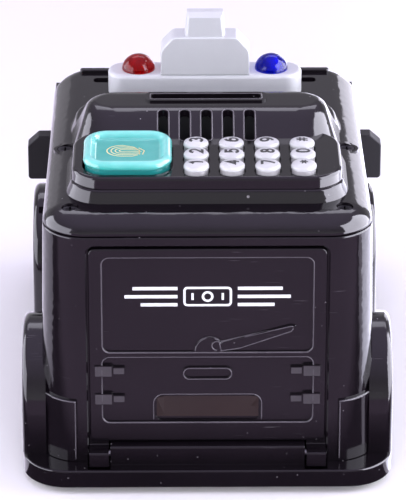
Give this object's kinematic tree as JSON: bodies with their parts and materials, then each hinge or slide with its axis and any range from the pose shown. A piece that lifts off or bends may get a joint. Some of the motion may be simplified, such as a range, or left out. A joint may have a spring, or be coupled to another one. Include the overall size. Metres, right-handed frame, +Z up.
{
  "type": "money box",
  "caption": "Money box shaped as an armoured cash truck with keypad, touch pad, drop-down rear door, coin slot and motor-fed note slot.",
  "frame": {"origin": "centre of the footprint on the ground, under the wheels", "axes": "+X to the right seen from the door end, +Y forwards towards the nose, +Z up"},
  "size_m": [0.143, 0.205, 0.1444],
  "materials": {
    "black_shell": "glossy",
    "mirror_black": "matt",
    "wheel_plastic": "satin",
    "steel": "satin",
    "dark_steel": "satin",
    "copper_winding": "satin",
    "clear_window": "glossy",
    "white_keys": "satin",
    "teal_pad": "glossy",
    "light_grey": "satin",
    "red_clear": "glossy",
    "blue_clear": "glossy",
    "led_milky": "glossy",
    "membrane_rubber": "matt",
    "board_green": "satin",
    "inner_plastic": "satin",
    "motor_can": "satin",
    "speaker_black": "matt",
    "wire_red": "satin",
    "cell_wrap": "satin"
  },
  "bodies": {
    "truck": {"base_screws": "steel", "batteries": "cell_wrap", "battery_contacts": "steel", "battery_cover": "inner_plastic", "beacon_leds": "led_milky", "blue_lens": "blue_clear", "body_shell": "black_shell", "chassis_base": "black_shell", "coin_chute": "inner_plastic", "compartment_floor": "inner_plastic", "door_spring": "steel", "front_grille": "mirror_black", "headlight_lenses": "clear_window", "hinge_pins": "steel", "keypad_board": "board_green", "keypad_membrane": "membrane_rubber", "light_bar_base": "light_grey", "main_board": "board_green", "mirror_left": "mirror_black", "mirror_right": "mirror_black", "red_lens": "red_clear", "roller_frame": "inner_plastic", "roller_motor": "motor_can", "roof_cover": "black_shell", "roof_screws": "dark_steel", "side_windows": "clear_window", "siren_cap": "light_grey", "siren_housing": "light_grey", "solenoid_coil": "copper_winding", "solenoid_frame": "steel", "speaker": "speaker_black", "switch_body": "inner_plastic", "wheel_pins": "steel", "windscreen": "clear_window", "wiring_loom": "wire_red"},
    "rear_door": {"rear_door": "black_shell"},
    "latch": {"latch_bolt": "steel"},
    "fingerprint_pad": {"fingerprint_button": "teal_pad"},
    "drive_roller": {"note_drive_roller": "membrane_rubber", "roller_gear": "inner_plastic"},
    "idler_roller": {"note_idler_roller": "membrane_rubber"},
    "pinion": {"motor_pinion": "inner_plastic"},
    "power_switch": {"switch_knob": "inner_plastic"},
    "key_0": {"key_0": "white_keys"},
    "key_1": {"key_1": "white_keys"},
    "key_2": {"key_2": "white_keys"},
    "key_3": {"key_3": "white_keys"},
    "key_4": {"key_4": "white_keys"},
    "key_5": {"key_5": "white_keys"},
    "key_6": {"key_6": "white_keys"},
    "key_7": {"key_7": "white_keys"},
    "key_8": {"key_8": "white_keys"},
    "key_9": {"key_9": "white_keys"},
    "key_hash": {"key_hash": "white_keys"},
    "key_star": {"key_star": "white_keys"},
    "wheel_rear_left": {"wheel_rear_left": "wheel_plastic"},
    "wheel_rear_right": {"wheel_rear_right": "wheel_plastic"},
    "wheel_front_left": {"wheel_front_left": "wheel_plastic"},
    "wheel_front_right": {"wheel_front_right": "wheel_plastic"}
  },
  "joints": [
    {"name": "door_hinge", "type": "hinge", "parent": "truck", "child": "rear_door", "pos_m": [0, -0.0949, 0.0135], "axis": [1, 0, 0], "range_deg": [0, 95]},
    {"name": "latch_slide", "type": "slide", "parent": "truck", "child": "latch", "axis": [-1, 0, 0], "range_m": [0, 0.005]},
    {"name": "key_1_press", "type": "slide", "parent": "truck", "child": "key_1", "axis": [0, 0, -1], "range_m": [0, 0.0012], "stiffness_N_per_m": 30},
    {"name": "key_4_press", "type": "slide", "parent": "truck", "child": "key_4", "axis": [0, 0, -1], "range_m": [0, 0.0012], "stiffness_N_per_m": 30},
    {"name": "key_7_press", "type": "slide", "parent": "truck", "child": "key_7", "axis": [0, 0, -1], "range_m": [0, 0.0012], "stiffness_N_per_m": 30},
    {"name": "key_star_press", "type": "slide", "parent": "truck", "child": "key_star", "axis": [0, 0, -1], "range_m": [0, 0.0012], "stiffness_N_per_m": 30},
    {"name": "key_2_press", "type": "slide", "parent": "truck", "child": "key_2", "axis": [0, 0, -1], "range_m": [0, 0.0012], "stiffness_N_per_m": 30},
    {"name": "key_5_press", "type": "slide", "parent": "truck", "child": "key_5", "axis": [0, 0, -1], "range_m": [0, 0.0012], "stiffness_N_per_m": 30},
    {"name": "key_8_press", "type": "slide", "parent": "truck", "child": "key_8", "axis": [0, 0, -1], "range_m": [0, 0.0012], "stiffness_N_per_m": 30},
    {"name": "key_0_press", "type": "slide", "parent": "truck", "child": "key_0", "axis": [0, 0, -1], "range_m": [0, 0.0012], "stiffness_N_per_m": 30},
    {"name": "key_3_press", "type": "slide", "parent": "truck", "child": "key_3", "axis": [0, 0, -1], "range_m": [0, 0.0012], "stiffness_N_per_m": 30},
    {"name": "key_6_press", "type": "slide", "parent": "truck", "child": "key_6", "axis": [0, 0, -1], "range_m": [0, 0.0012], "stiffness_N_per_m": 30},
    {"name": "key_9_press", "type": "slide", "parent": "truck", "child": "key_9", "axis": [0, 0, -1], "range_m": [0, 0.0012], "stiffness_N_per_m": 30},
    {"name": "key_hash_press", "type": "slide", "parent": "truck", "child": "key_hash", "axis": [0, 0, -1], "range_m": [0, 0.0012], "stiffness_N_per_m": 30},
    {"name": "fingerprint_press", "type": "slide", "parent": "truck", "child": "fingerprint_pad", "axis": [0, 0, -1], "range_m": [0, 0.0012], "stiffness_N_per_m": 120},
    {"name": "wheel_rear_left_spin", "type": "hinge", "parent": "truck", "child": "wheel_rear_left", "pos_m": [0, -0.0615, 0.022], "axis": [1, 0, 0], "continuous": true},
    {"name": "wheel_rear_right_spin", "type": "hinge", "parent": "truck", "child": "wheel_rear_right", "pos_m": [0, -0.0615, 0.022], "axis": [1, 0, 0], "continuous": true},
    {"name": "wheel_front_left_spin", "type": "hinge", "parent": "truck", "child": "wheel_front_left", "pos_m": [0, 0.06, 0.022], "axis": [1, 0, 0], "continuous": true},
    {"name": "wheel_front_right_spin", "type": "hinge", "parent": "truck", "child": "wheel_front_right", "pos_m": [0, 0.06, 0.022], "axis": [1, 0, 0], "continuous": true},
    {"name": "drive_roller_spin", "type": "hinge", "parent": "truck", "child": "drive_roller", "pos_m": [0, 0.03645, 0.092], "axis": [1, 0, 0], "continuous": true},
    {"name": "idler_roller_spin", "type": "hinge", "parent": "truck", "child": "idler_roller", "pos_m": [0, 0.04475, 0.092], "axis": [1, 0, 0], "continuous": true},
    {"name": "motor_spin", "type": "hinge", "parent": "truck", "child": "pinion", "pos_m": [0, 0.0259, 0.0822], "axis": [1, 0, 0], "continuous": true},
    {"name": "switch_slide", "type": "slide", "parent": "truck", "child": "power_switch", "axis": [1, 0, 0], "range_m": [0, 0.005]}
  ],
  "couplings": [
    {"joint": "idler_roller_spin", "follows": "drive_roller_spin", "ratio": -1},
    {"joint": "motor_spin", "follows": "drive_roller_spin", "ratio": -3}
  ]
}
